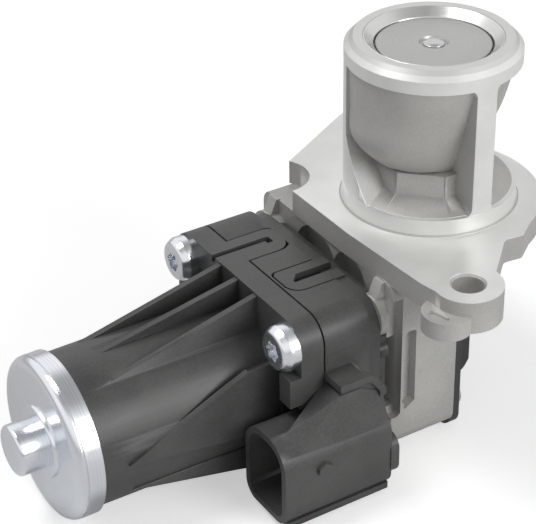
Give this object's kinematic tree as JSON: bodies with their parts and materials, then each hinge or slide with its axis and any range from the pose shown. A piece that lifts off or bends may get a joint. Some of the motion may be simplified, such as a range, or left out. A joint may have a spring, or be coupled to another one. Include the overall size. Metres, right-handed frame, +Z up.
{
  "type": "exhaust gas recirculation valve",
  "caption": "Electric exhaust gas recirculation valve: poppet disc in a plug-in cast spigot, lifted through gears and a spiral cam by a motor lying beside it, with a plug connector.",
  "frame": {"origin": "on the spigot's axis in the plane of the mounting face", "axes": "+Z up along the spigot axis out of the ring, +X from the motor towards the valve, -Y to the side with the connector"},
  "size_m": [0.1333, 0.088, 0.0922],
  "materials": {
    "cast": "bead-blasted die casting with turned bands",
    "seat": "turned",
    "steel": "ground",
    "zinc": "bright zinc plate",
    "plastic": "black glass-filled moulding, satin",
    "gear_plastic": "natural acetal",
    "copper": "enamelled copper",
    "brass": "sintered bronze",
    "tin": "tin plated",
    "rubber": "moulded seal",
    "magnet": "sintered ferrite",
    "carbon": "pressed carbon",
    "board": "circuit board with its chip"
  },
  "bodies": {
    "housing": {"valve_housing": "cast", "valve_seat": "seat", "guide_bush": "brass", "stem_seal": "rubber", "return_spring": "steel", "output_pin": "steel", "intermediate_pin": "steel", "position_sensor": "board", "gear_cover": "plastic", "cover_screws": "zinc", "drive_flange": "plastic", "connector_plate": "plastic", "connector_pins": "tin", "motor_housing": "plastic", "end_cap": "zinc", "rear_bearing": "brass", "front_bearing": "brass", "motor_can": "steel", "stator_magnets": "magnet", "brush_holder": "plastic", "brushes": "carbon", "housing_screws": "zinc"},
    "rotor": {"motor_shaft": "steel", "armature": "steel", "windings": "copper", "commutator": "copper", "motor_pinion": "brass"},
    "intermediate": {"intermediate_gear": "gear_plastic"},
    "output": {"output_gear": "gear_plastic", "sensor_magnet": "magnet"},
    "valve": {"valve_disc": "seat", "valve_stem": "steel", "spring_retainer": "steel", "stem_yoke": "steel", "roller_pin": "steel"},
    "roller": {"cam_roller": "steel"}
  },
  "joints": [
    {"name": "rotor_spin", "type": "hinge", "parent": "housing", "child": "rotor", "pos_m": [-0.05, 0.0044, -0.033], "axis": [1, 0, 0], "range_deg": [0, 614.4]},
    {"name": "intermediate_spin", "type": "hinge", "parent": "housing", "child": "intermediate", "pos_m": [-0.018, -0.00826, -0.03288], "axis": [1, 0, 0], "range_deg": [-192.01, 0]},
    {"name": "output_spin", "type": "hinge", "parent": "housing", "child": "output", "pos_m": [-0.014, 0, -0.022], "axis": [1, 0, 0], "range_deg": [0, 80.01]},
    {"name": "valve_lift", "type": "slide", "parent": "housing", "child": "valve", "axis": [0, 0, 1], "range_m": [0, 0.00601], "stiffness_N_per_m": 60, "springref_m": -0.01, "deforming": ["return_spring"]},
    {"name": "roller_spin", "type": "hinge", "parent": "valve", "child": "roller", "pos_m": [-0.0105, 0, -0.036], "axis": [1, 0, 0], "range_deg": [0, 384.1]}
  ],
  "couplings": [
    {"joint": "intermediate_spin", "follows": "rotor_spin", "ratio": -0.3125},
    {"joint": "output_spin", "follows": "rotor_spin", "ratio": 0.13021},
    {"joint": "valve_lift", "follows": "rotor_spin", "m_per_rad": 0.00055953},
    {"joint": "roller_spin", "follows": "rotor_spin", "ratio": 0.625}
  ]
}
